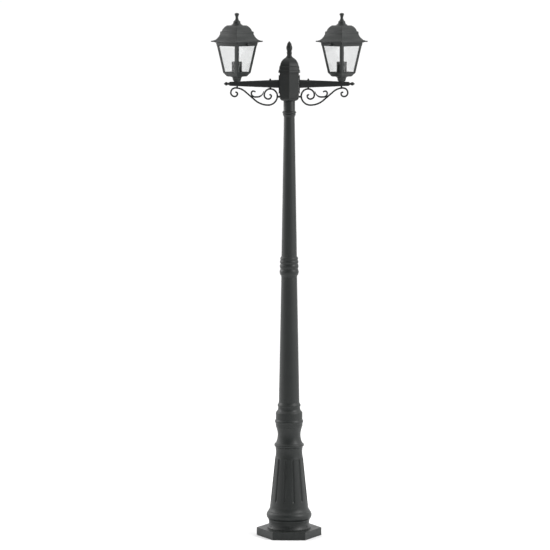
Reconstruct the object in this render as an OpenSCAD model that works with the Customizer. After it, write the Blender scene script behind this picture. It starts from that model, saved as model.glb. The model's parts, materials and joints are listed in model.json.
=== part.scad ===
// Two-armed street lamp post: cast pedestal, tapered shaft in two lengths, hexagonal head,
// two scrolled arms and two four-sided lanterns. Origin: ground level on the post's axis.
// +Z is up, the arms lie along X and the inspection door faces +Y.

/* [Pedestal] */
// Circumradius of the hexagonal plinth
plinth_r = 190; // [180:1:200]
// Height of the plinth
plinth_h = 46; // [44:1:60]
// Pitch circle diameter of the ground anchors
anchor_pcd = 190; // [180:1:196]
// Radius of each anchor hole
anchor_hole_r = 7; // [5:0.5:9]
// Number of flutes round the pedestal
flutes = 12; // [12:12:24]
// Half width of the inspection door's opening
door_half_w = 23; // [20:0.5:24]

/* [Shafts] */
// Length of the lower tapered shaft
lower_shaft_l = 735; // [700:1:800]
// Length of the upper tapered shaft
upper_shaft_l = 809; // [760:1:900]
// Wall of both shafts
shaft_wall = 4.5; // [3.5:0.1:5]

/* [Head and arms] */
// Height of the hexagonal head
hub_h = 164; // [160:1:175]
// Distance from the post's axis to each lantern's axis
arm_reach = 302.5; // [301:0.5:304]
// Thickness of the scrolls' square bar
scroll_bar = 9.6; // [8:0.1:10]

/* [Lantern] */
// Height of a lantern's cage above its tray
cage_h = 156; // [150:1:180]
// Half width of the cage at its tray
cage_low = 56.2; // [55:0.1:57]
// Half width of the cage under its top band
cage_high = 81.3; // [80.5:0.1:81.5]
// Width of each leg of a corner post
post_leg = 16; // [12:0.5:18]
// Thickness of the glass
glass_t = 3; // [2:0.1:4]

/* [Hidden] */
$fn = 64;
eps = 0.1;
fit_gap = 0.05;
CAST = "#3d413f";
STEEL = "#9a9c9e";

// Heights of the joints between the castings, from the ground up
pedestal_h = 480;
collar_h = 263;
joint_h = 123;
capital_h = 93;
pedestal_top = plinth_h + pedestal_h;
collar_top = pedestal_top + collar_h;
lower_top = collar_top + lower_shaft_l;
joint_top = lower_top + joint_h;
upper_top = joint_top + upper_shaft_l;
hub_z = upper_top + capital_h;
cap_z = hub_z + hub_h;
arm_z = hub_z + 99;
seat_z = arm_z + 14.5;

// Radii of the shafts at their ends
lower_r0 = 60.2;
lower_r1 = 46;
upper_r0 = 45;
upper_r1 = 31.5;

// Bores that the hidden sleeves pass through
collar_bore_r = 50.4;
joint_bore_r = 38.4;
spigot_bore_r = 26.4;

// Hub, as apothems of its hexagon
hub_a = 55.5;
hub_wall = 6;
hub_floor = 13;

// Lantern levels above its seat on the arm
tray_z = 27.5;
cage_z = 48.5;
band_z = cage_z + cage_h;
band_h = 16.5;
roof_z = band_z + band_h + 1.8;
hinge_y = 89.7;
hinge_z = band_z + 13;
pin_r = 2;

// ---- Outlines -------------------------------------------------------------------------------

// Arc from p to q that swells by s to the right of the way it goes, or to the left if s < 0
function swell(p, q, s, n = 8) =
    let (c = norm(q - p), r = (c * c / 4 + s * s) / (2 * abs(s)), h = asin(c / 2 / r),
         d = (q - p) / c, k = sign(s), o = (p + q) / 2 - [d.y, -d.x] * k * (r - abs(s)),
         a = atan2(p.y - o.y, p.x - o.x))
    [for (i = [0:n]) let (t = a + k * 2 * h * i / n) o + r * [cos(t), sin(t)]];

// A round ring h high round height z, out beyond radius r
function bead(r, z, h, out) = swell([r, z - h / 2], [r, z + h / 2], out, 6);

// An outline and its mirror image in the vertical axis, as one loop
function both_sides(p) = concat(p, [for (i = [len(p) - 1:-1:0]) [-p[i].x, p[i].y]]);

// Straight line through two points, read at y
function at_height(p, q, y) = p.x + (q.x - p.x) * (y - p.y) / (q.y - p.y);

// Points [x, z, heading] along tangent arcs; each step is [radius, turn], or [length, 0] if straight
function trail(p, h, steps, i = 0) =
    i >= len(steps) ? [[p.x, p.y, h]] :
    let (r = steps[i][0], t = steps[i][1], k = sign(t), o = p + r * k * [-sin(h), cos(h)],
         n = max(1, ceil(abs(t) / 11.25)),
         pts = t == 0 ? [[p.x, p.y, h]] :
               [for (j = [0:n - 1]) let (g = h + t * j / n) [o.x + r * k * sin(g), o.y - r * k * cos(g), g]],
         e = t == 0 ? p + r * [cos(h), sin(h)] : o + r * k * [sin(h + t), -cos(h + t)])
    concat(pts, trail(e, h + t, steps, i + 1));

// ---- Solids shared by several parts -----------------------------------------------------------

module turned(p) rotate_extrude() polygon(p);

// A shell of revolution: outer outline from the bottom up, and the radius of a straight bore
module turned_shell(p, bore) difference() {
    turned(concat([[0, p[0].y]], p, [[0, p[len(p) - 1].y]]));
    translate([0, 0, p[0].y - 1]) cylinder(r = bore, h = p[len(p) - 1].y - p[0].y + 2);
}

// Prism with the given half outline, then the four-sided and six-sided solids that it makes
module flank(p) rotate([90, 0, 0]) linear_extrude(400, center = true) polygon(both_sides(p));
module four_sided(p) intersection_for (a = [0, 90]) rotate(a) flank(p);
module six_sided(p) intersection_for (a = [0, 60, 120]) rotate(a) flank(p);

// Upright hexagonal prism of apothem a, with flats towards both sides
module hexagon_prism(a, h) rotate(30) cylinder(r = a / cos(30), h = h, $fn = 6);

// Eight-sided bar along +X that tapers to a share of its root: half width, half height and bevel
module tapered_bar(from, to, w, h, c, share) translate([from, 0, 0]) rotate([90, 0, 90])
    linear_extrude(to - from, scale = share) polygon([
        [-w, c - h], [c - w, -h], [w - c, -h], [w, c - h], [w, h - c], [w - c, h], [c - w, h], [-w, h - c]]);

// Bar of square section that follows a trail in the XZ plane, with round ends
module trail_bar(pts, w) rotate([90, 0, 0]) {
    linear_extrude(w, center = true) polygon(concat(
        [for (q = pts) [q.x - w / 2 * sin(q[2]), q.y + w / 2 * cos(q[2])]],
        [for (i = [len(pts) - 1:-1:0]) let (q = pts[i]) [q.x + w / 2 * sin(q[2]), q.y - w / 2 * cos(q[2])]]));
    for (q = [pts[0], pts[len(pts) - 1]])
        translate([q.x, q.y, 0]) cylinder(r = w * 0.56, h = w, center = true);
}

// Insulated wire along straight runs, with a slightly fuller ball at each elbow
module wire(pts, r) {
    for (i = [0:len(pts) - 2]) {
        d = pts[i + 1] - pts[i];
        translate(pts[i]) rotate([0, acos(d.z / norm(d)), atan2(d.y, d.x)])
            cylinder(r = r, h = norm(d), $fn = 24);
    }
    for (i = [1:len(pts) - 2]) translate(pts[i]) sphere(r = r * 1.2, $fn = 24);
}

// Hexagon-headed bolt along +Z, its head below z = 0
module hex_bolt(r, l, head_r, head_h) {
    cylinder(r = r, h = l);
    translate([0, 0, -head_h]) cylinder(r = head_r, h = head_h, $fn = 6);
}

module on_side(right) mirror([right ? 0 : 1, 0, 0]) children();
module on_both_sides() for (right = [false, true]) on_side(right) children();
// A lantern is built on its own axis with its hinge towards local +Y, then turned corner-on
module at_lantern(right) on_side(right) translate([arm_reach, 0, seat_z]) rotate(-45) children();

// ---- Pedestal -------------------------------------------------------------------------------

plinth_recess = 30;
plinth_bolt_at = 120;

module anchor_holes(r, h) for (a = [45:90:315])
    rotate(a) translate([anchor_pcd / 2, 0, -eps]) cylinder(r = r, h = h);

module base_plinth() color(CAST) difference() {
    union() {
        difference() {
            cylinder(r = plinth_r, h = plinth_h, $fn = 6);
            translate([0, 0, -eps]) cylinder(r = plinth_r - 16, h = plinth_recess + eps, $fn = 6);
        }
        for (a = [45:90:315]) rotate(a) translate([anchor_pcd / 2, 0, 0]) cylinder(r = 20, h = plinth_h - 1);
        for (a = [0:60:300]) rotate(a) translate([50, -4, 4]) cube([plinth_r - 60, 8, plinth_recess]);
        cylinder(r = 52, h = plinth_h - 1);
    }
    anchor_holes(anchor_hole_r, plinth_h + 1);
    translate([0, 0, -eps]) cylinder(r = 30, h = plinth_h + 1);
    for (a = [30:60:330]) rotate(a) translate([plinth_bolt_at, 0, 0]) cylinder(r = 4.3, h = plinth_h + 1);
}

module cable_grommet() color("#222222") translate([0, 0, plinth_h]) difference() {
    union() {
        translate([0, 0, -16]) cylinder(r = 29.9, h = 17);
        cylinder(r = 36, h = 4);
    }
    translate([0, 0, -17]) cylinder(r = 14, h = 22);
}

module plinth_bolts() color(STEEL) for (a = [30:60:330])
    rotate(a) translate([plinth_bolt_at, 0, plinth_recess]) hex_bolt(4, 34, 7.5, 5.5);

// The pedestal's cone, which the flutes, the door and its frame follow
cone_low = [110, 143.5];
cone_high = [81.5, 417];
pedestal_wall = 9;
cone_lean = atan((cone_low.x - cone_high.x) / (cone_high.y - cone_low.y));
function cone_r(z) = at_height(cone_low, cone_high, z);

module flute() {
    r = 8;
    depth = 5;
    z0 = 170;
    z1 = 408;
    translate([cone_r(z0) + r - depth, 0, z0]) rotate([0, -cone_lean, 0]) {
        sphere(r = r);
        cylinder(r = r, h = z1 - z0);
        translate([0, 0, z1 - z0]) sphere(r = r);
    }
}

module pedestal_casting() translate([0, 0, plinth_h]) difference() {
    turned(concat(
        [[113, 0], [127.5, 0], [127.5, 5]],
        swell([125.5, 8], [120.5, 44], -4),
        bead(122, 76.5, 46, 10.5),
        swell([122, 102], [111.5, 134], -3),
        [cone_low, cone_high],
        swell([80, 421], [79.5, 476], -2.2),
        [[79.5, 480], [70.5, 480]],
        [cone_high - [pedestal_wall, 0], cone_low - [pedestal_wall, 0], [113, 100]]));
    for (i = [0:flutes - 1]) rotate((i + 0.5) * 360 / flutes) flute();
    for (a = [30:60:330]) rotate(a) translate([plinth_bolt_at, 0, -eps]) cylinder(r = 4.05, h = 20);
}

door_low = 180;
door_high = 370;
module door_block(half_w, low, high)
    translate([-half_w, 60, plinth_h + low]) cube([2 * half_w, 90, high - low]);

screw_at = (door_low + door_high) / 2;

module pedestal() color(CAST) difference() {
    pedestal_casting();
    door_block(door_half_w, door_low, door_high);
}

module door() color(CAST) difference() {
    intersection() {
        pedestal_casting();
        door_block(door_half_w - 0.8, door_low + 0.8, door_high - 0.8);
    }
    translate([0, 60, plinth_h + screw_at]) rotate([-90, 0, 0]) cylinder(r = 3.05, h = 60);
    translate([0, cone_r(screw_at) - 3.5, plinth_h + screw_at]) rotate([-90, 0, 0]) cylinder(r = 8, h = 20);
}

// Ledge behind the door: a strip of the cone with two windows, and a bridge between them
module door_frame() color(STEEL) {
    inner = pedestal_wall + 0.4;
    ledge = 4;
    low = door_low - 10;
    high = door_high + 10;
    difference() {
        union() {
            intersection() {
                translate([0, 0, plinth_h]) turned([
                    [cone_r(low) - inner - ledge, low], [cone_r(low) - inner, low],
                    [cone_r(high) - inner, high], [cone_r(high) - inner - ledge, high]]);
                door_block(34, low, high);
            }
            translate([0, cone_r(screw_at) - inner - 12, plinth_h + screw_at]) rotate([-90, 0, 0])
                cylinder(r = 8, h = 10);
        }
        door_block(16.5, door_low + 12, screw_at - 12);
        door_block(16.5, screw_at + 12, door_high - 12);
        translate([0, 60, plinth_h + screw_at]) rotate([-90, 0, 0]) cylinder(r = 3.6, h = 60);
    }
}

module door_screw() color(STEEL) translate([0, cone_r(screw_at) - 3.2, plinth_h + screw_at]) difference() {
    rotate([90, 0, 0]) {
        cylinder(r = 3, h = 20);
        translate([0, 0, -4.5]) cylinder(r = 6.5, h = 4.5);
    }
    translate([0, 1.5, 0]) rotate([-90, 0, 0]) cylinder(r = 3.4, h = 5, $fn = 3);
}

board_y = -6;
module equipment_board() color(STEEL) translate([0, board_y, plinth_h]) {
    translate([-28, -3, 6]) cube([56, 3, 350]);
    translate([-28, -50, 5]) cube([56, 50, 3]);
}

fuse_z = 205;
module fuse_unit() color("#d8d8d4") translate([0, board_y, plinth_h + fuse_z]) difference() {
    union() {
        translate([-25, 0, 0]) cube([50, 34, 120]);
        translate([-22, 33, 12]) cube([44, 7, 96]);
        translate([-12, 39, 70]) cube([24, 9, 30]);
        for (x = [-12, 12]) translate([x, 17, -14]) cylinder(r = 8, h = 15, $fn = 6);
        translate([0, 14, 119]) cylinder(r = 9, h = 12, $fn = 6);
    }
    for (x = [-12, 12]) translate([x, 17, -15]) cylinder(r = 4, h = 12);
    translate([0, 14, 122]) cylinder(r = 5.2, h = 12);
}

module earth_stud() color("#b08d3c") translate([0, board_y, plinth_h + 172]) rotate([-90, 0, 0]) {
    cylinder(r = 4, h = 22);
    translate([0, 0, 0]) cylinder(r = 8, h = 6, $fn = 6);
    translate([0, 0, 10]) cylinder(r = 9, h = 1.6);
    translate([0, 0, 11.6]) cylinder(r = 7.5, h = 5, $fn = 6);
}

// ---- Column ---------------------------------------------------------------------------------

module pedestal_collar() color(CAST) translate([0, 0, pedestal_top]) difference() {
    turned(concat(
        [[0, -14], [70, -14], [70, 0]],
        bead(79.5, 11, 22, 7.5),
        swell([78, 23], [77, 118], -10.5, 12),
        [[76.3, 121], [78.5, 125]],
        bead(79.5, 150, 20, 3.4),
        [[78, 162], [78, 203], [72.5, 210]],
        swell([70, 213], [64.6, 229], -1.5, 5),
        [[64.5, 235]],
        bead(64.5, 245, 16, 2.6),
        [[62.5, 256], [lower_r0, collar_h], [0, collar_h]]));
    translate([0, 0, -15]) cylinder(r = collar_bore_r, h = collar_h + 16);
}

// Steel tube that locks two castings or shafts in line
module sleeve(r, z, l, wall) color(STEEL) translate([0, 0, z]) difference() {
    cylinder(r = r, h = l);
    translate([0, 0, -eps]) cylinder(r = r - wall, h = l + 2 * eps);
}
module pedestal_sleeve() sleeve(collar_bore_r - 0.3, collar_top - 140, 260, 4);
module joint_sleeve() sleeve(joint_bore_r - 0.3, lower_top - 110, joint_h + 200, 4);
module hub_spigot() sleeve(spigot_bore_r - 0.3, upper_top - 80, capital_h + 80 + hub_floor + 3, 4);

module tapered_tube(r0, r1, z, l) color(CAST) translate([0, 0, z]) difference() {
    cylinder(r1 = r0, r2 = r1, h = l);
    slope = (r1 - r0) / l;
    translate([0, 0, -1])
        cylinder(r1 = r0 - slope - shaft_wall, r2 = r1 + slope - shaft_wall, h = l + 2);
}
module lower_shaft() tapered_tube(lower_r0, lower_r1, collar_top, lower_shaft_l);
module upper_shaft() tapered_tube(upper_r0, upper_r1, joint_top, upper_shaft_l);

module shaft_collar() color(CAST) translate([0, 0, lower_top]) turned_shell(concat(
    [[lower_r1, 0]], swell([lower_r1 + 0.5, 4], [51.5, 14], -1, 4),
    bead(51.8, 31, 30, 3.8), bead(51.5, 64, 24, 2.9), bead(51, 90, 18, 3), bead(49.5, 108.5, 15, 2.6),
    [[48, 118], [upper_r0, joint_h]]), joint_bore_r);

module shaft_capital() color(CAST) translate([0, 0, upper_top]) turned_shell(concat(
    [[upper_r1, 0], [33, 6]], bead(34.5, 14, 11, 2.8), bead(35.5, 27, 15, 4.6),
    [[34.2, 37], [33.5, 41], [33.5, capital_h]]), spigot_bore_r);

// ---- Head -----------------------------------------------------------------------------------

flange_t = 5.4;
wall_screw_z = arm_z - 74.5;
bolt_y = 19;
bolt_up = 36;

module hub_body() color(CAST) difference() {
    translate([0, 0, hub_z]) {
        six_sided(concat([[0, 0], [33.6, 0]], swell([36, 2], [54, 16], 3.5, 6), [[54, 24], [0, 24]]));
        translate([0, 0, 19]) hexagon_prism(hub_a, hub_h - 19);
    }
    translate([0, 0, hub_z + hub_floor]) hexagon_prism(hub_a - hub_wall, hub_h);
    translate([0, 0, hub_z - 1]) cylinder(r = spigot_bore_r, h = 20);
    on_both_sides() {
        translate([0, 0, arm_z]) rotate([0, 90, 0]) cylinder(r = 9, h = 70);
        arm_bolt_places() cylinder(r = 4.3, h = 20);
        translate([40, 0, wall_screw_z]) rotate([0, 90, 0]) cylinder(r = 3.3, h = 30);
    }
    for (a = [60, 120]) rotate(a) translate([20, 0, hub_z + 7]) rotate([0, 90, 0]) cylinder(r = 3.3, h = 60);
}
module arm_bolt_places() for (y = [-bolt_y, bolt_y], z = [-bolt_up - 8, bolt_up])
    translate([hub_a - hub_wall, y, arm_z + z]) rotate([0, 90, 0]) children();

module arm_bolts() color(STEEL) on_both_sides() arm_bolt_places() hex_bolt(4, 9.6, 6.5, 4.5);

module hub_setscrews() color(STEEL) for (a = [60, 120])
    rotate(a) translate([spigot_bore_r, 0, hub_z + 7]) rotate([0, 90, 0]) difference() {
        cylinder(r = 3.2, h = 12);
        translate([0, 0, 8]) cylinder(r = 1.7, h = 5, $fn = 6);
    }

module hub_terminal() color("#e4e2da") translate([0, -35, hub_z + hub_floor]) difference() {
    translate([-15, -6, 0]) cube([30, 12, 20]);
    for (x = [-9, 0, 9]) translate([x, 0, 14]) cylinder(r = 2.4, h = 7);
}

module riser_cable() color("#1c1c1c") wire([
    [0, board_y + 14, plinth_h + fuse_z + 123], [0, 8, plinth_h + fuse_z + 220], [0, 8, hub_z + 34],
    [0, -20, hub_z + 50], [0, -35, hub_z + 44], [0, -35, hub_z + hub_floor + 20.3]], 4.5);

module hub_cap() color(CAST) translate([0, 0, cap_z]) difference() {
    union() {
        difference() {
            six_sided(concat([[0, 0.3], [63.2, 0.3], [62.6, 8], [61, 13], [58.6, 17], [57, 36], [53.6, 38.5]],
                swell([53.4, 41], [22, 86], 6.5, 10), [[0, 86]]));
            six_sided(concat([[0, 0], [50, 0]], swell([49, 36], [19, 81.5], 6, 8), [[0, 81.5]]));
        }
        difference() {
            six_sided([[0, -8], [49, -8], [49, 0.3], [50.5, 5], [0, 5]]);
            translate([0, 0, -9]) cylinder(r = 44, h = 16);
        }
    }
    translate([0, 0, 70]) cylinder(r = 4.1, h = 20);
}

module hub_finial() color(CAST) translate([0, 0, cap_z + 86.2]) {
    turned(concat([[0, 0], [21.8, 0]], swell([20.5, 3], [13.5, 17], -2, 5),
        bead(13.6, 28, 14, 1.6), [[13.6, 38]], swell([14.2, 41], [14.8, 69], 3.6, 8),
        swell([14.2, 72], [6.8, 88.5], 1.2, 5), [[0.6, 94.8], [0, 95]]));
    translate([0, 0, -14]) cylinder(r = 4, h = 15);
    translate([0, 0, -11.2]) cylinder(r = 7.5, h = 6, $fn = 6);
}

// ---- Arms and scrolls -------------------------------------------------------------------------

arm_root = hub_a + 0.3 + flange_t;
arm_end = 340;
arm_wall = 3.5;
outer_bolt = 301.5;
inner_bolt = 110;
arm_from = arm_root - 2;
arm_bore_from = arm_root + 2;
arm_w = 19.1;
arm_h = 23.3;
arm_bevel = 6.8;
arm_h_end = 12;
// Half height of the arm at x
function arm_half(x) = at_height([arm_h, arm_from], [arm_h_end, arm_end], x);

module arm() color(CAST) translate([0, 0, arm_z]) difference() {
    union() {
        tapered_bar(arm_from, arm_end, arm_w, arm_h, arm_bevel, arm_h_end / arm_h);
        translate([hub_a + 0.3, 0, 0]) rotate([90, 0, 90]) linear_extrude(flange_t)
            polygon([[-21, -55], [21, -55], [27, -49], [27, 43], [21, 49], [-21, 49], [-27, 43], [-27, -49]]);
        translate([arm_reach, 0, 8]) cylinder(r = 17, h = seat_z - arm_z - 8);
    }
    bore_h = arm_half(arm_bore_from) - arm_wall;
    tapered_bar(arm_bore_from, arm_end + 1, arm_w - arm_wall, bore_h, arm_bevel - 1,
        (arm_h_end - arm_wall) / bore_h);
    translate([50, 0, 0]) rotate([0, 90, 0]) cylinder(r = 9, h = 20);
    for (y = [-bolt_y, bolt_y], z = [-bolt_up - 8, bolt_up])
        translate([hub_a - 1, y, z]) rotate([0, 90, 0]) cylinder(r = 4.05, h = 4.8);
    translate([inner_bolt, 0, -40]) cylinder(r = 3.3, h = 80);
    translate([outer_bolt, 0, -40]) cylinder(r = 3.3, h = 40);
    translate([arm_reach, 0, 0]) cylinder(r = 6.2, h = 30);
}

module arm_tip() color(CAST) translate([0, 0, arm_z]) rotate([0, 90, 0]) turned(concat(
    [[0, 326], [6, 326], [6, arm_end + 0.2], [12.4, arm_end + 0.2], [12.4, 344.5], [9.6, 346.5]],
    [[6.2, 352], [6.6, 355]],
    swell([7, 356.5], [7.6, 371], 3.2, 6), [[0.6, 379], [0, 379]]));

scroll_main = [[8, 90], [16.5, 90], [22, 90], [27.5, 90], [84, 41], [76.5, 0], [115, -41],
    [53, -90], [40.5, -90], [35, -90], [23.5, -90], [17.5, -90], [7, -90]];
scroll_leaf = [[37.2, 85], [12, 0], [22, 90], [12, 90], [14, 40]];

module scroll() color(CAST) translate([0, 0, arm_z]) difference() {
    union() {
        trail_bar(trail([307.5, -49], 180, scroll_main), scroll_bar);
        trail_bar(trail([148.3, -42], 275, scroll_leaf), scroll_bar);
        for (b = [[inner_bolt, -29.5], [outer_bolt, -24.3]])
            translate([b.x, 0, b.y]) cylinder(r = 5.2, h = -arm_half(b.x) - 0.4 - b.y);
        translate([hub_a + 0.5, 0, wall_screw_z - arm_z]) rotate([0, 90, 0]) cylinder(r = 6, h = 13);
    }
    translate([inner_bolt, 0, -36]) cylinder(r = 3.05, h = 20);
    translate([outer_bolt, 0, -27]) cylinder(r = 3.05, h = 20);
    translate([hub_a, 0, wall_screw_z - arm_z]) rotate([0, 90, 0]) cylinder(r = 3.05, h = 12);
}

module scroll_bolts() color(STEEL) on_both_sides() translate([0, 0, arm_z]) {
    top = arm_half(inner_bolt);
    translate([inner_bolt, 0, -35]) cylinder(r = 3, h = 35 + top + 1);
    translate([inner_bolt, 0, top + 0.3])
        turned([[0, 0], [7, 0], [7, 1.6], [5, 2.4], [5, 6], [3.6, 8.4], [0, 9.2]]);
    translate([outer_bolt, 0, -26]) cylinder(r = 3, h = 18);
    translate([outer_bolt, 0, -9.4]) cylinder(r = 5.5, h = 4, $fn = 6);
}

module wall_screws() color(STEEL) on_both_sides()
    translate([hub_a - hub_wall, 0, wall_screw_z]) rotate([0, 90, 0]) hex_bolt(3, 16.5, 5.5, 4);

// ---- Lanterns -------------------------------------------------------------------------------

module stem() color(CAST) difference() {
    turned(concat([[0, 0], [17, 0]], swell([18, 1], [24, 10], 1.6, 5), [[24.4, 14]],
        swell([25.2, 16], [33.5, 26], -1.8, 5), [[33.5, tray_z], [0, tray_z]]));
    translate([0, 0, -1]) cylinder(r = 6.2, h = 40);
}

module stem_nipple() color(STEEL) difference() {
    union() {
        translate([0, 0, -10]) cylinder(r = 6, h = 50);
        translate([0, 0, -9.8]) cylinder(r = 7, h = 3.3, $fn = 6);
        translate([0, 0, tray_z + 3.1]) cylinder(r = 10.5, h = 5.5, $fn = 6);
    }
    translate([0, 0, -11]) cylinder(r = 4.3, h = 52);
}
module stem_nipples() for (right = [false, true]) at_lantern(right) stem_nipple();

module tray() color(CAST) difference() {
    four_sided([[0, tray_z], [37.5, tray_z], [42, 29], [46.2, 35.5], [50.4, 41.5], [54.4, 46.5],
        [cage_low, cage_z], [0, cage_z]]);
    four_sided([[0, tray_z + 3], [36, tray_z + 3], [43.5, 36], [50.5, 45], [53, cage_z + 1], [0, cage_z + 1]]);
    translate([0, 0, tray_z - 1]) cylinder(r = 6.2, h = 8);
}

function cage_s(z) = at_height([cage_low, cage_z], [cage_high, band_z], z);
frame_t = 3;
rail_h = 6;

module cage_window() rotate([90, 0, 0]) linear_extrude(300, center = true) polygon(both_sides([
    [cage_s(cage_z + rail_h) - post_leg, cage_z + rail_h], [cage_high - post_leg, band_z]]));

module cage() color(CAST) {
    difference() {
        union() {
            difference() {
                four_sided([[0, cage_z], [cage_low, cage_z], [cage_high, band_z], [82.4, band_z],
                    [85.2, band_z + band_h], [0, band_z + band_h]]);
                four_sided([[0, cage_z - 1], [cage_low - frame_t, cage_z - 1], [cage_low - frame_t, cage_z],
                    [cage_high - frame_t, band_z], [79.4, band_z], [82, band_z + band_h + 1],
                    [0, band_z + band_h + 1]]);
                cage_window();
                rotate(90) cage_window();
            }
            for (x = [-19, 12.4]) translate([x, 0, 0]) {
                translate([0, 83.4, hinge_z - 4]) cube([6.6, hinge_y - 83.4, 7.3]);
                translate([0, hinge_y, hinge_z]) rotate([0, 90, 0]) cylinder(r = 4, h = 6.6);
            }
            translate([-7, -94.5, band_z + 8]) cube([14, 11, 5]);
        }
        translate([-20, hinge_y, hinge_z]) rotate([0, 90, 0]) cylinder(r = pin_r + 0.02, h = 40);
        translate([0, -hinge_y, band_z]) cylinder(r = pin_r + fit_gap, h = 20);
    }
}

module glass_panes() color([0.85, 0.88, 0.88, 0.4]) for (a = [0:90:270]) rotate(a) {
    low = cage_z + 3;
    high = band_z + 3;
    out = frame_t + 0.2;
    intersection() {
        rotate([90, 0, 0]) linear_extrude(200, center = true) polygon([
            [cage_s(low) - out - glass_t, low], [cage_s(low) - out, low],
            [cage_s(high) - out, high], [cage_s(high) - out - glass_t, high]]);
        rotate([90, 0, 90]) linear_extrude(200) polygon(both_sides([
            [cage_s(low) - out - glass_t - 2, low], [cage_s(high) - out - glass_t - 2, high]]));
    }
}

module holder_cover() color("#2b2d2c") difference() {
    translate([0, 0, tray_z + 3.2]) cylinder(r = 28.5, h = 83);
    translate([0, 0, tray_z + 2]) cylinder(r = 26.3, h = 82);
    translate([0, 0, 100]) cylinder(r = 17, h = 30);
}

module lampholder() color("#e9e5da") difference() {
    union() {
        translate([0, 0, 44]) cylinder(r = 20, h = 62);
        translate([0, 0, 44]) cylinder(r = 26, h = 4);
    }
    translate([0, 0, 43]) cylinder(r = 14.6, h = 70);
}

module screw_shell() color("#b08d3c") {
    difference() {
        translate([0, 0, 70]) cylinder(r = 14.5, h = 34);
        translate([0, 0, 69]) cylinder(r = 13.4, h = 36);
    }
    translate([0, 0, 50]) difference() {
        union() {
            cylinder(r = 14.4, h = 10);
            cylinder(r = 5, h = 13);
        }
        translate([0, 0, -1]) cylinder(r = 4, h = 8);
    }
}
module screw_shells() for (right = [false, true]) at_lantern(right) screw_shell();

module gasket() color("#222222") translate([0, 0, band_z + band_h]) difference() {
    translate([-84.8, -84.8, 0]) cube([169.6, 169.6, 1.5]);
    translate([-82.2, -82.2, -1]) cube([164.4, 164.4, 4]);
}

module hinge_pin() color(STEEL) translate([-20.5, hinge_y, hinge_z]) rotate([0, 90, 0]) {
    cylinder(r = pin_r, h = 41);
    translate([0, 0, -1.5]) cylinder(r = 3.2, h = 1.5);
}

module arm_wires() color("#1c1c1c") wire([
    [9, -35, hub_z + hub_floor + 14.3], [9, -35, hub_z + hub_floor + 26], [14, -20, arm_z - 30],
    [38, 0, arm_z], [60, 3, arm_z], [88, 9, arm_z],
    [140, 9, arm_z], [285, 4, arm_z], [arm_reach, 0, arm_z + 2], [arm_reach, 0, seat_z + 46]], 2);

roof_eave = roof_z + 10.7;
roof_step = roof_z + 51;
module roof() color(CAST) difference() {
    union() {
        four_sided(concat(
            [[0, roof_z], [85, roof_z], [89.5, roof_z + 0.8], [93, roof_z + 4.5], [93, roof_eave]],
            swell([90.5, roof_z + 15], [69.5, roof_z + 49], -3, 8),
            [[69.3, roof_step], [69.3, roof_z + 59], [67.2, roof_z + 64.5], [62.6, roof_z + 65.5]],
            swell([62.3, roof_z + 67], [41, roof_z + 99], 3.5, 8),
            [[30, roof_z + 100.2], [0, roof_z + 100.2]]));
        for (a = [45:90:315]) rotate(a) horn();
        translate([-12, hinge_y - 2.7, hinge_z]) cube([24, 5.4, roof_z + 2 - hinge_z]);
        translate([-12, hinge_y, hinge_z]) rotate([0, 90, 0]) cylinder(r = 4, h = 24);
    }
    four_sided([[0, roof_z - 1], [80.5, roof_z - 1], [80.5, roof_z + 18], [68, roof_z + 41],
        [65.8, roof_z + 62], [59, roof_z + 67], [38.5, roof_z + 96], [0, roof_z + 96]]);
    translate([-20, hinge_y, hinge_z]) rotate([0, 90, 0]) cylinder(r = pin_r + fit_gap, h = 40);
    translate([0, -hinge_y, roof_z - 1]) cylinder(r = 2.8, h = 9);
    translate([0, 0, roof_z + 80]) cylinder(r = 4.1, h = 30);
}

// Pointed corner of the eave, which dips and then turns up a little at its tip
module horn() rotate([90, 0, 0]) linear_extrude(7, center = true) polygon([
    [118, roof_z + 1.5], [129, roof_z + 2.5], [137, roof_z + 4.6], [144, roof_z + 4.4], [151, roof_z + 6.2],
    [147, roof_z + 10.2], [138, roof_z + 12], [129, roof_z + 14.5], [118, roof_z + 20]]);

module roof_finial() color(CAST) translate([0, 0, roof_z + 100.4]) {
    turned(concat([[0, 0], [33, 0], [32, 2.5]], swell([31, 3.5], [22.5, 11], -1.5, 4), [[20.6, 13], [20.6, 20]],
        swell([19.8, 21.5], [8.4, 39], -2, 6), [[8, 44]],
        swell([8.4, 46], [13.4, 62], -0.8, 4), swell([13.2, 64.5], [2, 70.6], 2, 5), [[0, 70.8]]));
    translate([0, 0, -16]) cylinder(r = 4, h = 17);
    translate([0, 0, -11]) cylinder(r = 7.5, h = 6, $fn = 6);
}

// Knurled thumb screw that holds the roof shut from under its eave
module latch() color(STEEL) translate([0, -hinge_y, 0]) {
    translate([0, 0, band_z + 7]) cylinder(r = pin_r, h = 18);
    translate([0, 0, band_z]) difference() {
        cylinder(r = 5.2, h = 7.6);
        for (a = [0:30:330]) rotate(a) translate([5.6, 0, -1]) cylinder(r = 0.9, h = 10, $fn = 16);
    }
}

// ---- Assembly -------------------------------------------------------------------------------

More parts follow.
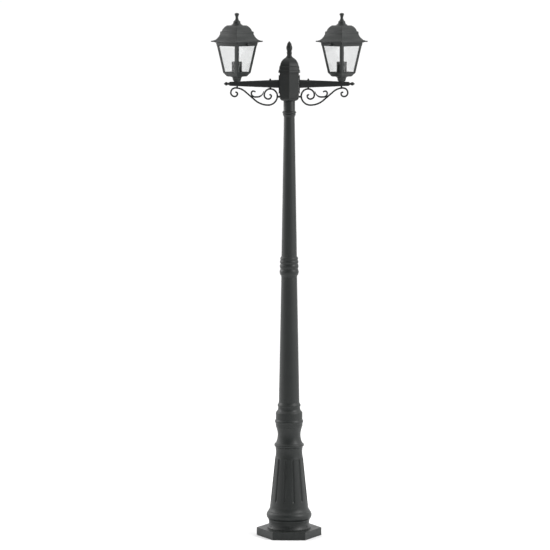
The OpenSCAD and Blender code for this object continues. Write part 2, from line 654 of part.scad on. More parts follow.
base_plinth();
cable_grommet();
plinth_bolts();
pedestal();
door_frame();
equipment_board();
fuse_unit();
earth_stud();
pedestal_collar();
pedestal_sleeve();
lower_shaft();
shaft_collar();
joint_sleeve();
upper_shaft();
shaft_capital();
hub_spigot();
hub_body();
hub_setscrews();
hub_terminal();
riser_cable();
on_side(false) arm();  // left_arm
on_side(true) arm();  // right_arm
arm_bolts();
on_side(false) arm_tip();  // left_arm_tip
on_side(true) arm_tip();  // right_arm_tip
on_side(false) scroll();  // left_scroll
on_side(true) scroll();  // right_scroll
scroll_bolts();
wall_screws();
at_lantern(false) stem();  // left_stem
at_lantern(true) stem();  // right_stem
stem_nipples();
at_lantern(false) tray();  // left_tray
at_lantern(true) tray();  // right_tray
at_lantern(false) cage();  // left_cage
at_lantern(true) cage();  // right_cage
at_lantern(false) glass_panes();  // left_glass
at_lantern(true) glass_panes();  // right_glass
at_lantern(false) holder_cover();  // left_holder_cover
at_lantern(true) holder_cover();  // right_holder_cover
at_lantern(false) lampholder();  // left_lampholder
at_lantern(true) lampholder();  // right_lampholder
screw_shells();
at_lantern(false) gasket();  // left_gasket
at_lantern(true) gasket();  // right_gasket
at_lantern(false) hinge_pin();  // left_hinge_pin
at_lantern(true) hinge_pin();  // right_hinge_pin
on_side(false) arm_wires();  // left_arm_wires
on_side(true) arm_wires();  // right_arm_wires
at_lantern(false) roof();  // left_roof
at_lantern(true) roof();  // right_roof
at_lantern(false) roof_finial();  // left_roof_finial
at_lantern(true) roof_finial();  // right_roof_finial
at_lantern(false) latch();  // left_latch
at_lantern(true) latch();  // right_latch
hub_cap();
hub_finial();
door();
door_screw();
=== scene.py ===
"""Looks for the two-armed street lamp post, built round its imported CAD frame."""

import json
import math

import bmesh
import bpy
import numpy as np
from mathutils import Matrix, Vector


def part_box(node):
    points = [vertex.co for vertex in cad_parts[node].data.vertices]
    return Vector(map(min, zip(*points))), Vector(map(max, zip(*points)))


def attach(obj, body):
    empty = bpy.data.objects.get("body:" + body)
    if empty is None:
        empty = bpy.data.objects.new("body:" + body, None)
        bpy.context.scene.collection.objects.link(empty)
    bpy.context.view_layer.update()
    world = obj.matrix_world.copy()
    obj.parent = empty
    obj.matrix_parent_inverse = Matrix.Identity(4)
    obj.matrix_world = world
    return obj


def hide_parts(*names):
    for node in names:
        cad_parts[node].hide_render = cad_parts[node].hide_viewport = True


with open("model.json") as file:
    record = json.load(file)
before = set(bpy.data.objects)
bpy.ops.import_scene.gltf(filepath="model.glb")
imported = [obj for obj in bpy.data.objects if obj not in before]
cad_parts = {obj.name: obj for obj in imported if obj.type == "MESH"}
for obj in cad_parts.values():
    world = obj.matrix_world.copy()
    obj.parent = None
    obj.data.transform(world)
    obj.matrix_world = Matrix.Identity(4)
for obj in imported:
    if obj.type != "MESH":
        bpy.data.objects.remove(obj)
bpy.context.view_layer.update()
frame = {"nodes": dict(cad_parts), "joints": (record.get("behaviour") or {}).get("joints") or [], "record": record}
MM = 0.001

# ---- Levels and places, read from the frame in millimetres -------------------------------------

def low(node, axis=2):
    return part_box(node)[0][axis] / MM


def high(node, axis=2):
    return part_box(node)[1][axis] / MM


def joint(name):
    return next(j for j in frame["joints"] if j["name"] == name)


PEDESTAL_Z = low("pedestal")
COLLAR_LIP = 14
COLLAR_Z = low("pedestal_collar") + COLLAR_LIP
JOINT_Z = low("shaft_collar")
CAPITAL_Z = low("shaft_capital")
HUB_Z = low("hub_body")
CAP_Z = high("hub_body")
ARM_Z = (low("right_arm_tip") + high("right_arm_tip")) / 2
SEAT_Z = low("right_stem")
REACH = (low("right_stem", 0) + high("right_stem", 0)) / 2
ROOF_Z = high("right_gasket") + 0.3 - SEAT_Z
HINGE_AT = [v / MM for v in joint("right_roof_hinge")["pos_m"]]
HINGE_Z = HINGE_AT[2] - SEAT_Z
HINGE_Y = math.hypot(HINGE_AT[0] - REACH, HINGE_AT[1])
HUB_A = (high("hub_body", 0) - low("hub_body", 0)) / 2

# ---- Outlines ----------------------------------------------------------------------------------


def swell(p, q, s, n=16):
    """Arc from p to q that swells by s to the right of its way, or to the left if s < 0."""
    p, q = np.array(p, float), np.array(q, float)
    c = np.linalg.norm(q - p)
    r = (c * c / 4 + s * s) / (2 * abs(s))
    half = math.asin(c / 2 / r)
    d = (q - p) / c
    k = 1 if s > 0 else -1
    o = (p + q) / 2 - np.array([d[1], -d[0]]) * k * (r - abs(s))
    a = math.atan2(p[1] - o[1], p[0] - o[0])
    return [tuple(o + r * np.array([math.cos(t), math.sin(t)]))
            for t in (a + k * 2 * half * i / n for i in range(n + 1))]


def bead(r, z, h, out):
    return swell((r, z - h / 2), (r, z + h / 2), out, 14)


def softened(loop, radius=1.2, steps=3, sharp=18):
    """Rounds the corners of a closed outline that turn by more than `sharp` degrees."""
    pts = [np.array(p, float) for p in loop]
    pts = [p for i, p in enumerate(pts) if np.linalg.norm(p - pts[i - 1]) > 1e-6]
    out = []
    for i, p in enumerate(pts):
        a, b = pts[i - 1], pts[(i + 1) % len(pts)]
        la, lb = np.linalg.norm(a - p), np.linalg.norm(b - p)
        u, v = (a - p) / la, (b - p) / lb
        turn = 180 - math.degrees(math.acos(max(-1, min(1, float(u @ v)))))
        cut = min(radius, la * 0.4, lb * 0.4)
        if turn < sharp or p[0] < 1e-6 or cut < 0.05:
            out.append(tuple(p))
            continue
        for k in range(steps + 1):
            t = k / steps
            out.append(tuple((1 - t) ** 2 * (p + u * cut) + 2 * t * (1 - t) * p + t * t * (p + v * cut)))
    return out


def trail(p, h, steps, step=4.0):
    """Points (x, z, heading) along tangent arcs; a step is (radius, turn) or (length, 0)."""
    out = []
    x, z = p
    h = math.radians(h)
    for r, turn in steps:
        t = math.radians(turn)
        if not turn:
            n = max(1, round(r / 4))
            out += [(x + r * math.cos(h) * i / n, z + r * math.sin(h) * i / n, h) for i in range(n)]
            x, z = x + r * math.cos(h), z + r * math.sin(h)
            continue
        k = 1 if turn > 0 else -1
        ox, oz = x - r * k * math.sin(h), z + r * k * math.cos(h)
        n = max(2, round(abs(turn) / step))
        turns = [h + t * i / n for i in range(n)]
        out += [(ox + r * k * math.sin(g), oz - r * k * math.cos(g), g) for g in turns]
        h += t
        x, z = ox + r * k * math.sin(h), oz - r * k * math.cos(h)
    return out + [(x, z, h)]


# ---- Mesh builders, in millimetres -------------------------------------------------------------


def to_object(name, bm, matrix=None, sharp=32):
    """Cleans a bmesh, scales it to metres and makes it an object with smooth and sharp edges."""
    bmesh.ops.remove_doubles(bm, verts=bm.verts, dist=1e-4)
    bmesh.ops.dissolve_degenerate(bm, edges=bm.edges, dist=1e-4)
    if matrix is not None:
        bmesh.ops.transform(bm, matrix=matrix, verts=bm.verts)
    bmesh.ops.scale(bm, vec=(MM, MM, MM), verts=bm.verts)
    bmesh.ops.recalc_face_normals(bm, faces=bm.faces)
    for f in bm.faces:
        f.smooth = True
    for e in bm.edges:
        e.smooth = len(e.link_faces) == 2 and e.calc_face_angle(0) < math.radians(sharp)
    mesh = bpy.data.meshes.new(name)
    bm.to_mesh(mesh)
    bm.free()
    obj = bpy.data.objects.new(name, mesh)
    bpy.context.scene.collection.objects.link(obj)
    return obj


def rings_into(bm, rings, loops_closed=True):
    """Joins successive rings of points with quads; with loops_closed the last ring meets the first."""
    rows = [[bm.verts.new(p) for p in ring] for ring in rings]
    count = len(rows) if loops_closed else len(rows) - 1
    for i in range(count):
        a, b = rows[i], rows[(i + 1) % len(rows)]
        for j in range(len(a)):
            k = (j + 1) % len(a)
            bm.faces.new((a[j], a[k], b[k], b[j]))
    return rows


def revolve_into(bm, loop, seg=120, wave=None):
    """Revolves a closed outline of (radius, z); wave(r, z, angle) may change each radius."""
    rings = []
    for i in range(seg):
        t = 2 * math.pi * i / seg
        ring = []
        for r, z in loop:
            q = wave(r, z, t) if wave else r
            ring.append((q * math.cos(t), q * math.sin(t), z))
        rings.append(ring)
    rings_into(bm, rings)


def polygon_ring(a, z, sides, first, rc, arc=4):
    """Ring of a regular polygon of apothem a, its first corner at angle `first`, corners rounded by rc."""
    rc = min(rc, a * 0.45)
    half = math.pi / sides
    out = []
    for k in range(sides):
        c = math.radians(first) + 2 * math.pi * k / sides
        d = (a - rc) / math.cos(half)
        for j in range(arc + 1):
            t = c - half + 2 * half * j / arc
            out.append((d * math.cos(c) + rc * math.cos(t), d * math.sin(c) + rc * math.sin(t), z))
    return out


def prism_stack_into(bm, loop, sides, first, rc):
    """Solid with a polygonal section all the way up a closed outline of (apothem, z)."""
    rings_into(bm, [polygon_ring(max(a, 0.001), z, sides, first, rc if a > 2 else 0.0005) for a, z in loop])


def rod_into(bm, start, end, r, seg=28, chamfer=0.6):
    """Round rod between two points with eased ends."""
    a, b = Vector(start), Vector(end)
    d = (b - a).normalized()
    side = d.orthogonal().normalized()
    up = d.cross(side)
    length = (b - a).length
    rings = []
    stations = ((0, 0.001), (0, r - chamfer), (chamfer, r),
                (length - chamfer, r), (length, r - chamfer), (length, 0.001))
    for along, rad in stations:
        rings.append([a + d * along + (side * math.cos(t) + up * math.sin(t)) * rad
                      for t in (2 * math.pi * i / seg for i in range(seg))])
    rings_into(bm, rings, loops_closed=False)


def bar_into(bm, path, half, round_off=0.42, ends=(1.0, 1.0)):
    """Rounded square bar along a trail in the XZ plane. ends: width left at each end, 1 for full."""
    n = len(path)
    section = []
    for i in range(20):
        t = 2 * math.pi * i / 20
        c, s = math.cos(t), math.sin(t)
        section.append((math.copysign(abs(c) ** round_off, c), math.copysign(abs(s) ** round_off, s)))
    rings = []
    for i, (x, z, h) in enumerate(path):
        f = i / (n - 1)
        k = min(1.0, ends[0] + (1 - ends[0]) * f * 5, ends[1] + (1 - ends[1]) * (1 - f) * 5)
        up = half * k
        deep = half * (0.6 + 0.4 * k)
        rings.append([(x - math.sin(h) * u * up, v * deep, z + math.cos(h) * u * up) for u, v in section])
    rows = rings_into(bm, rings, loops_closed=False)
    bm.faces.new(rows[0])
    bm.faces.new(list(reversed(rows[-1])))


def ball_into(bm, centre, size):
    """Smooth ball or bud, size (x, y, z) as half widths."""
    m = Matrix.Translation(centre) @ Matrix.Diagonal((*size, 1))
    bmesh.ops.create_uvsphere(bm, u_segments=28, v_segments=18, radius=1, matrix=m)


def mirrored(side):
    return Matrix.Scale(-1, 4, (1, 0, 0)) if side == "left" else Matrix.Identity(4)


def lantern_matrix(side):
    return mirrored(side) @ Matrix.Translation((REACH, 0, SEAT_Z)) @ Matrix.Rotation(-math.pi / 4, 4, "Z")


# ---- Materials -----------------------------------------------------------------------------------


class Nodes:
    """A material with a Principled shader and short ways to add nodes to it."""

    def __init__(self, name):
        self.material = bpy.data.materials.new(name)
        self.material.use_nodes = True
        self.tree = self.material.node_tree
        self.shader = self.tree.nodes["Principled BSDF"]
        self.coords = self.add("ShaderNodeTexCoord").outputs["Object"]

    def add(self, kind, **values):
        node = self.tree.nodes.new(kind)
        for key, value in values.items():
            setattr(node, key, value)
        return node

    def link(self, a, b):
        self.tree.links.new(a, b)

    def noise(self, scale, detail=4.0, rough=0.5, stretch=(1, 1, 1)):
        mapping = self.add("ShaderNodeMapping")
        mapping.inputs["Scale"].default_value = stretch
        self.link(self.coords, mapping.inputs["Vector"])
        node = self.add("ShaderNodeTexNoise")
        node.inputs["Scale"].default_value = scale
        node.inputs["Detail"].default_value = detail
        node.inputs["Roughness"].default_value = rough
        self.link(mapping.outputs["Vector"], node.inputs["Vector"])
        return node.outputs["Fac"]

    def span(self, value, a, b, c, d):
        node = self.add("ShaderNodeMapRange")
        for key, number in zip(("From Min", "From Max", "To Min", "To Max"), (a, b, c, d)):
            node.inputs[key].default_value = number
        self.link(value, node.inputs["Value"])
        return node.outputs["Result"]

    def times(self, a, b):
        node = self.add("ShaderNodeMath", operation="MULTIPLY")
        self.link(a, node.inputs[0])
        if isinstance(b, (int, float)):
            node.inputs[1].default_value = b
        else:
            self.link(b, node.inputs[1])
        return node.outputs[0]

    def mix(self, factor, a, b):
        node = self.add("ShaderNodeMix", data_type="RGBA")
        self.link(factor, node.inputs["Factor"])
        for socket, colour in ((node.inputs[6], a), (node.inputs[7], b)):
            if isinstance(colour, tuple):
                socket.default_value = (*colour, 1)
            else:
                self.link(colour, socket)
        return node.outputs[2]

    def bump(self, height, strength, distance, before=None):
        node = self.add("ShaderNodeBump")
        node.inputs["Strength"].default_value = strength
        node.inputs["Distance"].default_value = distance
        self.link(height, node.inputs["Height"])
        if before is not None:
            self.link(before, node.inputs["Normal"])
        return node.outputs["Normal"]

    def finish(self, colour=None, roughness=None, normal=None, **sockets):
        for key, value in (("Base Color", colour), ("Roughness", roughness), ("Normal", normal)):
            if value is not None:
                self.link(value, self.shader.inputs[key])
        for key, value in sockets.items():
            self.shader.inputs[key.replace("_", " ")].default_value = value
        return self.material


def powder_coat(name, tone, sheen):
    """Satin powder coat on cast metal: orange peel, cloudy sheen, settled dust and rubbed edges."""
    m = Nodes(name)
    tint = tuple(tone * k for k in (0.86, 1.06, 1.0))
    cloud = m.span(m.noise(7, 5, 0.6), 0.3, 0.7, 0, 1)
    colour = m.mix(cloud, tuple(v * 0.86 for v in tint), tuple(v * 1.14 for v in tint))
    facing = m.add("ShaderNodeNewGeometry")
    split = m.add("ShaderNodeSeparateXYZ")
    m.link(facing.outputs["Normal"], split.inputs[0])
    flat = m.span(split.outputs["Z"], 0.55, 1.0, 0, 0.5)
    dust = m.times(flat, m.span(m.noise(38, 6, 0.7), 0.42, 0.72, 0, 1))
    colour = m.mix(dust, colour, (0.05, 0.05, 0.046))
    edges = m.span(facing.outputs["Pointiness"], 0.53, 0.6, 0, 0.32)
    rubbed = m.times(edges, m.span(m.noise(70, 3), 0.45, 0.65, 0, 1))
    colour = m.mix(rubbed, colour, (0.04, 0.043, 0.041))
    roughness = m.span(m.noise(24, 6, 0.65), 0.25, 0.75, 0.40, 0.56)
    peel = m.bump(m.noise(520, 2, 0.4), 0.22, 0.0004)
    normal = m.bump(m.noise(46, 3, 0.5), 0.16, 0.0009, peel)
    return m.finish(colour, roughness, normal, Metallic=0.0, IOR=sheen, Coat_Weight=0.05, Coat_Roughness=0.35)


def bare_metal(name, light, dark, rough, grain):
    m = Nodes(name)
    stain = m.noise(60, 5, 0.6)
    colour = m.mix(m.span(stain, 0.35, 0.7, 0, 1), light, dark)
    roughness = m.span(m.noise(140, 4), 0.3, 0.7, rough - 0.08, rough + 0.1)
    normal = m.bump(m.noise(300, 3, 0.5, grain), 0.2, 0.0002)
    return m.finish(colour, roughness, normal, Metallic=1.0)


def moulded(name, colour_a, colour_b, rough, grain=900, coat=0.0):
    m = Nodes(name)
    colour = m.mix(m.span(m.noise(30, 4), 0.35, 0.65, 0, 1), colour_a, colour_b)
    roughness = m.span(m.noise(80, 4), 0.3, 0.7, rough - 0.06, rough + 0.08)
    normal = m.bump(m.noise(grain, 2), 0.18, 0.0002)
    return m.finish(colour, roughness, normal, Coat_Weight=coat, Coat_Roughness=0.08)


def float_glass():
    """Clear float glass with a faint, uneven grey film."""
    m = Nodes("float_glass")
    film = m.noise(9, 5, 0.65, (1, 1, 0.45))
    colour = m.mix(m.span(film, 0.3, 0.7, 0, 1), (0.885, 0.89, 0.89), (0.915, 0.92, 0.92))
    roughness = m.span(m.noise(120, 6, 0.7), 0.35, 0.75, 0.0, 0.035)
    normal = m.bump(m.noise(14, 2), 0.05, 0.0006)
    return m.finish(colour, roughness, normal, Transmission_Weight=1.0, IOR=1.45)


CAST = powder_coat("powder_coat", 0.0125, 1.42)
HEAD = powder_coat("powder_coat_head", 0.0075, 1.36)
STEEL = bare_metal("zinc_plate", (0.62, 0.63, 0.64), (0.45, 0.46, 0.47), 0.34, (1, 1, 6))
BRASS = bare_metal("brass_plate", (0.78, 0.58, 0.26), (0.58, 0.40, 0.16), 0.28, (1, 1, 1))
RUBBER = moulded("rubber_seal", (0.016, 0.016, 0.016), (0.026, 0.026, 0.025), 0.72, 500)
CABLE = moulded("cable_sheath", (0.012, 0.012, 0.013), (0.022, 0.022, 0.023), 0.5, 260)
BOX = moulded("fuse_box_plastic", (0.66, 0.66, 0.63), (0.72, 0.72, 0.69), 0.42)
HOLDER = moulded("holder_plastic", (0.034, 0.037, 0.036), (0.044, 0.047, 0.046), 0.5)
CERAMIC = moulded("glazed_ceramic", (0.80, 0.78, 0.72), (0.86, 0.84, 0.79), 0.2, 60, 0.7)
GLASS = float_glass()
BY_SLOT = {"steel": STEEL, "brass": BRASS, "rubber": RUBBER, "cable": CABLE, "fuse_box": BOX,
           "holder": HOLDER, "ceramic": CERAMIC, "glass": GLASS, "cast_metal": CAST}


def dress(obj, material):
    obj.data.materials.clear()
    obj.data.materials.append(material)


def piece(obj, body, material, *nodes):
    """A mesh that rides a body in place of the CAD nodes named."""
    dress(obj, material)
    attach(obj, body)
    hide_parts(*nodes)


# ---- Pedestal and column ---------------------------------------------------------------------------

FLUTES = 12
FLUTE_HALF = 7.6
FLUTE_DEPTH = 5.0
FLUTE_LOW, FLUTE_HIGH = 162, 416
CONE_LOW, CONE_HIGH = (110, 143.5), (81.5, 417)
PEDESTAL_WALL = 9


def flute_wave(r, z, t):
    """Sinks round-ended flutes into the pedestal's outer face."""
    cone = CONE_LOW[0] + (CONE_HIGH[0] - CONE_LOW[0]) * (z - CONE_LOW[1]) / (CONE_HIGH[1] - CONE_LOW[1])
    if z < FLUTE_LOW or z > FLUTE_HIGH or abs(r - cone) > 0.5:
        return r
    pitch = 2 * math.pi / FLUTES
    across = abs((t / pitch) % 1 - 0.5) * pitch * r
    along = max(0, FLUTE_LOW + FLUTE_HALF - z, z - FLUTE_HIGH + FLUTE_HALF)
    away = math.hypot(across, along) / FLUTE_HALF
    return r if away >= 1 else r - FLUTE_DEPTH * (1 - away ** 2) ** 0.75


def between(p, q, n):
    return [(p[0] + (q[0] - p[0]) * i / n, p[1] + (q[1] - p[1]) * i / n) for i in range(n + 1)]


def pedestal_bmesh():
    edge = [(113, 0), (127.5, 0), (127.5, 4), (126.2, 5.6)]
    foot = swell((125.5, 8), (120.5, 44), -4) + [(121.2, 49)] + bead(122, 76.5, 46, 10.5)
    rise = swell((122, 102), (111.5, 134), -3)
    neck = swell((80, 421), (79.5, 476), -2.2) + [(79.5, 479.2), (78.9, 480), (70.5, 480)]
    wall_top = (CONE_HIGH[0] - PEDESTAL_WALL, CONE_HIGH[1])
    wall_foot = (CONE_LOW[0] - PEDESTAL_WALL, CONE_LOW[1])
    wall = between(wall_top, wall_foot, 4)
    loop = edge + foot + rise + between(CONE_LOW, CONE_HIGH, 70) + neck + wall + [(113, 100)]
    bm = bmesh.new()
    revolve_into(bm, loop, 360, flute_wave)
    bmesh.ops.translate(bm, vec=(0, 0, PEDESTAL_Z), verts=bm.verts)
    return bm


def block(name, lo, hi):
    bm = bmesh.new()
    centre = [(a + b) / 2 for a, b in zip(lo, hi)]
    size = [b - a for a, b in zip(lo, hi)]
    bmesh.ops.create_cube(bm, size=1, matrix=Matrix.Translation(centre) @ Matrix.Diagonal((*size, 1)))
    return to_object(name, bm)


def carve(obj, tool, operation):
    """Applies an exact boolean and removes the tool."""
    cut = obj.modifiers.new("cut", "BOOLEAN")
    cut.operation = operation
    cut.object = tool
    cut.solver = "EXACT"
    bpy.context.view_layer.update()
    done = bpy.data.meshes.new_from_object(obj.evaluated_get(bpy.context.evaluated_depsgraph_get()))
    obj.modifiers.clear()
    obj.data = done
    tool_mesh = tool.data
    bpy.data.objects.remove(tool)
    bpy.data.meshes.remove(tool_mesh)
    mesh = bmesh.new()
    mesh.from_mesh(obj.data)
    for f in mesh.faces:
        f.smooth = True
    for e in mesh.edges:
        e.smooth = len(e.link_faces) == 2 and e.calc_face_angle(0) < math.radians(32)
    mesh.to_mesh(obj.data)
    mesh.free()


def pedestal_and_door():
    casting = to_object("pedestal_form", pedestal_bmesh())
    door = to_object("door_form", pedestal_bmesh())
    lo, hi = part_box("door")
    clearance = 0.8
    lo_mm = [lo[0] / MM, 60, lo[2] / MM]
    hi_mm = [hi[0] / MM, 150, hi[2] / MM]
    opening = block("opening", [lo_mm[0] - clearance, 60, lo_mm[2] - clearance],
                    [hi_mm[0] + clearance, 150, hi_mm[2] + clearance])
    carve(casting, opening, "DIFFERENCE")
    carve(door, block("door_block", lo_mm, hi_mm), "INTERSECT")
    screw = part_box("door_screw")
    x, z = 0, (screw[0][2] + screw[1][2]) / 2 / MM
    face = high("door_screw", 1) - 4.8
    for start, end, r in (((x, 60, z), (x, 150, z), 3.05), ((x, face, z), (x, 150, z), 8)):
        bm = bmesh.new()
        rod_into(bm, start, end, r, 40, 0.01)
        carve(door, to_object("drill", bm), "DIFFERENCE")
    piece(casting, "post", CAST, "pedestal")
    piece(door, "door", CAST, "door")


def turned_piece(name, loop, z, body, material, node, seg=128, ease=1.0, matrix=None):
    bm = bmesh.new()
    revolve_into(bm, softened(loop, ease), seg)
    bmesh.ops.translate(bm, vec=(0, 0, z), verts=bm.verts)
    piece(to_object(name, bm, matrix), body, material, node)


def column():
    sleeve_r = 50.4
    collar = ([(sleeve_r, -COLLAR_LIP), (70, -COLLAR_LIP), (70, 0)] + bead(79.5, 11, 22, 7.5)
              + swell((78, 23), (77, 118), -10.5, 26) + [(76.3, 121), (78.5, 125), (79.3, 138)]
              + bead(79.5, 150, 20, 3.4) + [(78, 162), (78, 203), (72.5, 210)]
              + swell((70, 213), (64.6, 229), -1.5, 8) + [(64.5, 235)] + bead(64.5, 245, 16, 2.6)
              + [(62.5, 256), (60.2, 263), (sleeve_r, 263)])
    turned_piece("pedestal_collar_form", collar, COLLAR_Z, "post", CAST, "pedestal_collar")
    ring = ([(38.4, 0), (46, 0)] + swell((46.5, 4), (51.5, 14), -1, 6) + bead(51.8, 31, 30, 3.8)
            + bead(51.5, 64, 24, 2.9) + bead(51, 90, 18, 3) + bead(49.5, 108.5, 15, 2.6)
            + [(48, 118), (45, 123), (38.4, 123)])
    turned_piece("shaft_collar_form", ring, JOINT_Z, "post", CAST, "shaft_collar", ease=0.8)
    capital = ([(26.4, 0), (31.5, 0), (33, 6)] + bead(34.5, 14, 11, 2.8) + bead(35.5, 27, 15, 4.6)
               + [(34.2, 37), (33.5, 41), (33.5, 93), (26.4, 93)])
    turned_piece("shaft_capital_form", capital, CAPITAL_Z, "post", CAST, "shaft_capital", ease=0.8)


# ---- Head ------------------------------------------------------------------------------------------


def hub_cap():
    outer = ([(50, 0.3), (63.2, 0.3), (63, 5), (62.4, 9), (61, 13), (58.9, 15.5), (58.4, 18), (57.2, 35),
              (55.6, 37.6), (53.6, 38.5)] + swell((53.4, 41), (22, 86), 6.5, 22))
    inner = ([(0, 86), (0, 81.5)] + list(reversed(swell((49, 36), (19, 81.5), 6, 14)))
             + [(49.4, 4), (49, -8), (45, -8), (45, 0.2)])
    bm = bmesh.new()
    prism_stack_into(bm, softened(outer + inner, 0.8), 6, 90, 2.6)
    bmesh.ops.translate(bm, vec=(0, 0, CAP_Z), verts=bm.verts)
    piece(to_object("hub_cap_form", bm, sharp=24), "hub_cap", HEAD, "hub_cap")
    bud = ([(0, 0), (21.8, 0)] + swell((20.5, 3), (13.5, 17), -2, 10) + bead(13.6, 28, 14, 1.6)
           + [(13.6, 38)] + swell((14.2, 41), (14.8, 69), 3.6, 18)
           + swell((14.2, 72), (6.8, 88.5), 1.2, 10) + [(0.6, 94.8), (0, 95)])
    bm = bmesh.new()
    base = CAP_Z + 86.2

    def facets(r, z, t):
        """Twelve shallow leaves round the bud."""
        share = max(0.0, 1 - abs(z - 60) / 32)
        return r * (1 - 0.05 * share * (0.5 + 0.5 * math.cos(12 * t)))

    revolve_into(bm, softened(bud, 0.8), 144, facets)
    bmesh.ops.translate(bm, vec=(0, 0, base), verts=bm.verts)
    rod_into(bm, (0, 0, base - 14), (0, 0, base + 1), 4)
    piece(to_object("hub_finial_form", bm), "hub_cap", HEAD, "hub_finial")


def arm_tip(side):
    end = 340.2
    loop = ([(0, 326), (6, 326), (6, end), (12.4, end), (12.4, 344.5), (9.6, 346.5), (6.2, 352), (6.6, 355)]
            + swell((7, 356.5), (7.6, 371), 3.2, 12) + [(0.6, 379), (0, 379)])
    bm = bmesh.new()
    revolve_into(bm, softened(loop, 0.8), 72)
    turn = mirrored(side) @ Matrix.Translation((0, 0, ARM_Z)) @ Matrix.Rotation(math.pi / 2, 4, "Y")
    piece(to_object(side + "_arm_tip_form", bm, turn), "post", HEAD, side + "_arm_tip")


SCROLL_MAIN = [(8, 90), (16.5, 90), (22, 90), (27.5, 90), (84, 41), (76.5, 0), (115, -41),
               (53, -90), (40.5, -90), (35, -90), (23.5, -90), (17.5, -90), (7, -90)]
SCROLL_LEAF = [(37.2, 85), (12, 0), (22, 90), (12, 90), (14, 40)]
SCROLL_BAR = 9.6
INNER_BOLT, OUTER_BOLT = 110, 301.5
ARM_ROOT, ARM_ROOT_HALF = 59.2, 23.3
ARM_END, ARM_END_HALF = 340, 12


def scroll(side):
    half = SCROLL_BAR / 2
    main = trail((307.5, -49), 180, SCROLL_MAIN)
    leaf = trail((148.3, -42), 275, SCROLL_LEAF)
    bm = bmesh.new()
    bar_into(bm, main, half)
    bar_into(bm, leaf, half, ends=(0.35, 0.8))
    for x, z, _ in (main[0], main[-1]):
        ball_into(bm, (x, 0, z), (half * 1.12, half * 0.98, half * 1.12))
    ball_into(bm, (leaf[-1][0], 0, leaf[-1][1]), (half * 0.95, half * 0.9, half * 0.95))
    for x, z in ((INNER_BOLT, -29.5), (OUTER_BOLT, -24.3)):
        under_arm = ARM_ROOT_HALF - (x - ARM_ROOT) * (ARM_ROOT_HALF - ARM_END_HALF) / (ARM_END - ARM_ROOT)
        rod_into(bm, (x, 0, z), (x, 0, -under_arm - 0.4), 5.2)
    pin_z = (low("wall_screws") + high("wall_screws")) / 2 - ARM_Z
    rod_into(bm, (HUB_A + 0.5, 0, pin_z), (HUB_A + 13.5, 0, pin_z), 6, chamfer=1)
    place = mirrored(side) @ Matrix.Translation((0, 0, ARM_Z))
    piece(to_object(side + "_scroll_form", bm, place), "post", HEAD, side + "_scroll")


# ---- Lanterns --------------------------------------------------------------------------------------


# Distance out, width, height and level of the rings along a horn of the eave
HORN_RINGS = ((112, 12, 17, 10.5), (121, 9.5, 14.5, 9.4), (129, 8, 11.6, 8.7), (136, 7.2, 8.6, 8.2),
              (142, 7, 7.4, 7.6), (147, 6.6, 6.8, 7.9), (149.8, 4.8, 4.8, 8.4), (150.8, 2, 2, 8.6))


def horn_into(bm, z):
    """Pointed corner of the eave, dipping and then turning up at its tip, along local +X."""
    rings = []
    for d, w, h, up in HORN_RINGS:
        rings.append([(d, w * math.cos(t) / 2, z + up + h * math.sin(t) / 2)
                      for t in (2 * math.pi * i / 20 for i in range(20))])
    rows = rings_into(bm, rings, loops_closed=False)
    bm.faces.new(rows[0])
    bm.faces.new(list(reversed(rows[-1])))


def roof(side):
    z = ROOF_Z
    eave = [(80.5, 0), (85, 0), (89.5, 0.8), (92.2, 3.2), (93, 5.4), (93, 9.2), (92.4, 11.4)]
    step = [(69.3, 51), (69.5, 55), (69.3, 59), (68.6, 62), (67.2, 64.5), (64.5, 65.4), (62.6, 65.5)]
    crown = swell((62.3, 67), (41, 99), 3.5, 18) + [(36, 99.9), (30, 100.2), (0, 100.2)]
    outer = [(a, z + b) for a, b in eave + swell((90.5, 15), (69.5, 49), -3, 20) + step + crown]
    inner = [(0, z + 96), (38.5, z + 96), (59, z + 67), (65.8, z + 62), (68, z + 41), (80.5, z + 18)]
    bm = bmesh.new()
    prism_stack_into(bm, softened(outer + inner, 0.9), 4, 45, 2.2)
    for k in range(4):
        horn = bmesh.new()
        horn_into(horn, z)
        turn = Matrix.Rotation(math.pi / 4 + k * math.pi / 2, 3, "Z")
        bmesh.ops.rotate(horn, cent=(0, 0, 0), matrix=turn, verts=horn.verts)
        carry = bpy.data.meshes.new("horn")
        horn.to_mesh(carry)
        horn.free()
        bm.from_mesh(carry)
        bpy.data.meshes.remove(carry)
    rod_into(bm, (-12, HINGE_Y, HINGE_Z), (12, HINGE_Y, HINGE_Z), 4, 40, 0.4)
    centre = Matrix.Translation((0, HINGE_Y, (HINGE_Z + z + 2) / 2))
    bmesh.ops.create_cube(bm, size=1, matrix=centre @ Matrix.Diagonal((24, 5.4, z + 2 - HINGE_Z, 1)))
    piece(to_object(side + "_roof_form", bm, lantern_matrix(side), 24), side + "_roof", CAST, side + "_roof")
    top = ([(0, 0), (33, 0), (32.4, 2.5)] + swell((31, 3.5), (22.5, 11), -1.5, 8) + [(20.6, 13), (20.6, 20)]
           + swell((19.8, 21.5), (8.4, 39), -2, 12) + [(8, 44)] + swell((8.4, 46), (13.4, 62), -0.8, 8)
           + swell((13.2, 64.5), (2, 70.6), 2, 8) + [(0, 70.8)])
    bm = bmesh.new()
    revolve_into(bm, softened(top, 0.8), 96)
    rod_into(bm, (0, 0, -16), (0, 0, 1), 4)
    bmesh.ops.translate(bm, vec=(0, 0, z + 100.4), verts=bm.verts)
    finial = to_object(side + "_roof_finial_form", bm, lantern_matrix(side))
    piece(finial, side + "_roof", CAST, side + "_roof_finial")


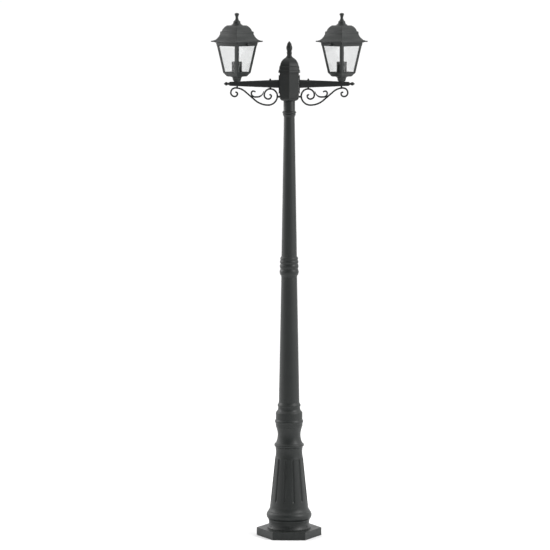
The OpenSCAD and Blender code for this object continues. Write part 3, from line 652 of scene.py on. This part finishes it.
def stem(side):
    tray = 27.5
    loop = ([(6.2, 0), (17, 0)] + swell((18, 1), (24, 10), 1.6, 10) + [(24.4, 14)]
            + swell((25.2, 16), (33.5, 26), -1.8, 10) + [(33.5, tray), (6.2, tray)])
    turned_piece(side + "_stem_form", loop, 0, "post", CAST, side + "_stem", 96, 0.7, lantern_matrix(side))


# ---- CAD nodes that stay, with eased edges and finishes ------------------------------------------


def ease_edges(obj, width):
    """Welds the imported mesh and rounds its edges, so they catch the light as cast edges do."""
    weld = obj.modifiers.new("weld", "WELD")
    weld.merge_threshold = 0.00002
    bevel = obj.modifiers.new("bevel", "BEVEL")
    bevel.width = width * MM
    bevel.segments = 3
    bevel.limit_method = "ANGLE"
    bevel.angle_limit = math.radians(35)
    bevel.harden_normals = False
    bevel.use_clamp_overlap = True


EASED = {"base_plinth": 2.2, "hub_body": 1.6, "left_arm": 1.2, "right_arm": 1.2, "left_cage": 0.5,
         "right_cage": 0.5,
         "left_tray": 0.9, "right_tray": 0.9, "left_holder_cover": 0.8,
         "right_holder_cover": 0.8, "scroll_bolts": 0.3}


PAINTED_DARK = ("hub_body", "left_arm", "right_arm", "scroll_bolts", "wall_screws", "arm_bolts")
PAINTED = ("plinth_bolts", "left_latch", "right_latch")


def dress_nodes():
    slots = {row["node"]: row["material_slot"] for row in frame["record"]["subparts"]}
    for node, obj in frame["nodes"].items():
        material = BY_SLOT[slots[node]]
        if node in PAINTED_DARK:
            material = HEAD
        elif node in PAINTED:
            material = CAST
        dress(obj, material)
        if node in EASED:
            ease_edges(obj, EASED[node])


# ---- Stage, light and camera -----------------------------------------------------------------------


# Brightness of the studio in front of the post, and all round it
DARK_FRONT, BRIGHT_ROUND = 0.12, 1.36


def stage():
    bm = bmesh.new()
    bmesh.ops.create_circle(bm, cap_ends=True, segments=96, radius=160)
    mesh = bpy.data.meshes.new("floor")
    bm.to_mesh(mesh)
    bm.free()
    floor = bpy.data.objects.new("floor", mesh)
    bpy.context.scene.collection.objects.link(floor)
    m = Nodes("pale_floor")
    colour = m.mix(m.noise(0.6, 3), (0.90, 0.90, 0.90), (0.93, 0.93, 0.93))
    dress(floor, m.finish(colour, Roughness=0.9))


def area_light(name, place, target, size, power):
    data = bpy.data.lights.new(name, "AREA")
    data.shape = "RECTANGLE"
    data.size, data.size_y = size
    data.energy = power
    light = bpy.data.objects.new(name, data)
    bpy.context.scene.collection.objects.link(light)
    light.location = place
    light.rotation_euler = (Vector(target) - Vector(place)).to_track_quat("-Z", "Y").to_euler()


def lights():
    world = bpy.data.worlds.new("studio")
    world.use_nodes = True
    tree = world.node_tree
    coords = tree.nodes.new("ShaderNodeTexCoord")
    split = tree.nodes.new("ShaderNodeSeparateXYZ")
    ramp = tree.nodes.new("ShaderNodeMapRange")
    ramp.interpolation_type = "SMOOTHSTEP"
    ramp.inputs["From Min"].default_value = -0.9
    ramp.inputs["From Max"].default_value = -0.1
    ramp.inputs["To Min"].default_value = DARK_FRONT
    ramp.inputs["To Max"].default_value = BRIGHT_ROUND
    tree.links.new(coords.outputs["Generated"], split.inputs[0])
    tree.links.new(split.outputs["Y"], ramp.inputs["Value"])
    tree.links.new(ramp.outputs["Result"], tree.nodes["Background"].inputs["Strength"])
    tree.nodes["Background"].inputs["Color"].default_value = (1, 1, 1, 1)
    bpy.context.scene.world = world
    area_light("key", (6.0, -3.0, 5.0), (0, 0, 1.5), (3.0, 4.0), 330)
    area_light("rim", (-6.0, 2.5, 3.5), (0, 0, 1.6), (2.0, 4.0), 160)


def camera():
    """Long lens, about eighteen metres in front of the post and a little above its lanterns."""
    data = bpy.data.cameras.new("camera")
    data.lens = 203.8
    data.sensor_width = 36
    data.clip_end = 500
    cam = bpy.data.objects.new("camera", data)
    bpy.context.scene.collection.objects.link(cam)
    cam.location = (0.08, -18.0, 3.587)
    cam.rotation_euler = (math.radians(90 - 6.5), 0, 0.00903)
    bpy.context.scene.camera = cam


dress_nodes()
pedestal_and_door()
column()
hub_cap()
for lamp_side in ("left", "right"):
    arm_tip(lamp_side)
    scroll(lamp_side)
    roof(lamp_side)
    stem(lamp_side)
stage()
lights()
camera()
bpy.context.scene.view_settings.view_transform = "Standard"
